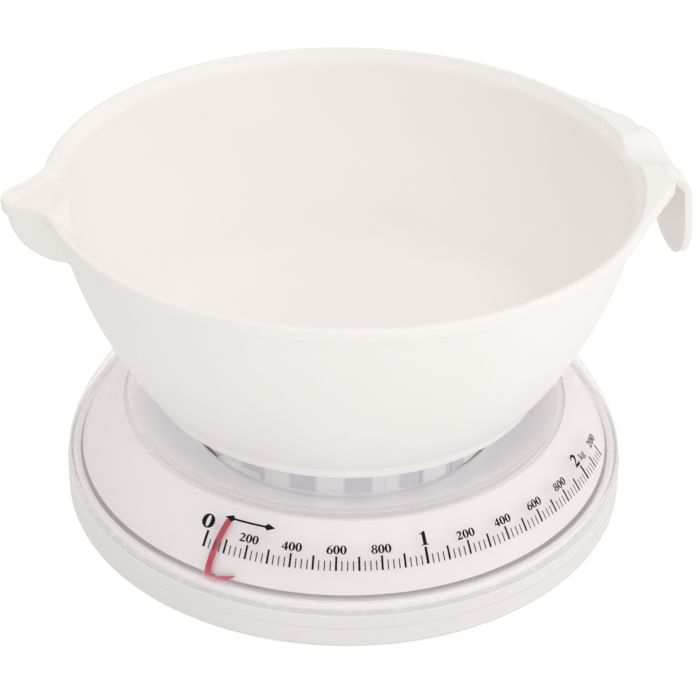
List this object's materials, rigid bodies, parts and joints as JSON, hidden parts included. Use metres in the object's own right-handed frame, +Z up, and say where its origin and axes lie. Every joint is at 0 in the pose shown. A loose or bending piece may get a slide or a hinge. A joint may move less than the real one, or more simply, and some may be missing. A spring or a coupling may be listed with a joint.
{
  "type": "kitchen scale",
  "caption": "Round mechanical kitchen scale: clear turning dial cover, red pointer inside, sinking platform and a lift-off pouring bowl with a hook handle.",
  "frame": {"origin": "on the table, under the pointer's spindle axis", "axes": "+Z up, +X towards the bowl's hook handle, -X towards its pouring lip"},
  "size_m": [0.2437, 0.2128, 0.1292],
  "materials": {
    "bowl_plastic": "gloss",
    "grey_plastic": "satin",
    "clear_plastic": "clear polished plastic",
    "white_plastic": "satin gloss",
    "pale_plastic": "gloss",
    "foot_rubber": "matte",
    "red_plastic": "gloss",
    "brass": "machined",
    "guide_plastic": "moulded",
    "dark_steel": "oiled",
    "spring_steel": "drawn wire",
    "zinc_steel": "zinc plated"
  },
  "bodies": {
    "base": {"base_pan": "pale_plastic", "rubber_feet": "foot_rubber", "dial_body": "white_plastic", "dial_screws": "zinc_steel", "chassis": "zinc_steel", "chassis_screws": "zinc_steel", "link_bracket": "zinc_steel", "link_pivot_pins": "zinc_steel", "crank_bracket": "zinc_steel", "crank_pin": "zinc_steel", "rack_guide": "guide_plastic", "rivets": "zinc_steel", "bearing_bridge": "zinc_steel", "bridge_screws": "zinc_steel", "lower_bearing": "brass", "upper_bearing": "brass", "main_spring": "spring_steel", "spring_adjuster": "zinc_steel"},
    "cover": {"dial_cover": "clear_plastic"},
    "platform": {"platform": "grey_plastic", "platform_screws": "zinc_steel", "carrier": "zinc_steel", "carrier_pins": "zinc_steel"},
    "bowl": {"bowl": "bowl_plastic"},
    "upper_link": {"upper_link": "zinc_steel"},
    "lower_link": {"lower_link": "zinc_steel"},
    "crank": {"bell_crank": "zinc_steel"},
    "rack": {"rack": "brass", "rack_pin": "zinc_steel"},
    "pointer": {"pointer": "red_plastic", "pointer_clip": "dark_steel", "spindle": "zinc_steel", "pinion": "brass"}
  },
  "joints": [
    {"name": "platform_sink", "type": "slide", "parent": "base", "child": "platform", "axis": [0, 0, -1], "range_m": [0, 0.005], "stiffness_N_per_m": 4320, "springref_m": -0.0012, "deforming": ["main_spring"]},
    {"name": "bowl_lift", "type": "slide", "parent": "platform", "child": "bowl", "axis": [0, 0, 1], "range_m": [0, 0.09]},
    {"name": "cover_turn", "type": "hinge", "parent": "base", "child": "cover", "pos_m": [0, 0, 0.03], "axis": [0, 0, 1], "range_deg": [-15, 15]},
    {"name": "upper_link_tilt", "type": "hinge", "parent": "base", "child": "upper_link", "pos_m": [-0.04, 0.022, 0.0265], "axis": [0, 1, 0], "range_deg": [0, 10]},
    {"name": "lower_link_tilt", "type": "hinge", "parent": "base", "child": "lower_link", "pos_m": [-0.04, 0.022, 0.0165], "axis": [0, 1, 0], "range_deg": [0, 10]},
    {"name": "crank_swing", "type": "hinge", "parent": "base", "child": "crank", "pos_m": [0.006, 0.038, 0.02444], "axis": [1, 0, 0], "range_deg": [0, 22]},
    {"name": "rack_travel", "type": "slide", "parent": "base", "child": "rack", "axis": [0, 1, 0], "range_m": [0, 0.0062]},
    {"name": "pointer_turn", "type": "hinge", "parent": "base", "child": "pointer", "pos_m": [0, 0, 0.0168], "axis": [0, 0, 1], "range_deg": [0, 103]}
  ],
  "couplings": [
    {"joint": "upper_link_tilt", "follows": "platform_sink", "rad_per_m": 29.412},
    {"joint": "lower_link_tilt", "follows": "platform_sink", "rad_per_m": 29.412},
    {"joint": "crank_swing", "follows": "platform_sink", "rad_per_m": 71.429},
    {"joint": "rack_travel", "follows": "platform_sink", "ratio": 1.16},
    {"joint": "pointer_turn", "follows": "platform_sink", "rad_per_m": 351.51}
  ]
}
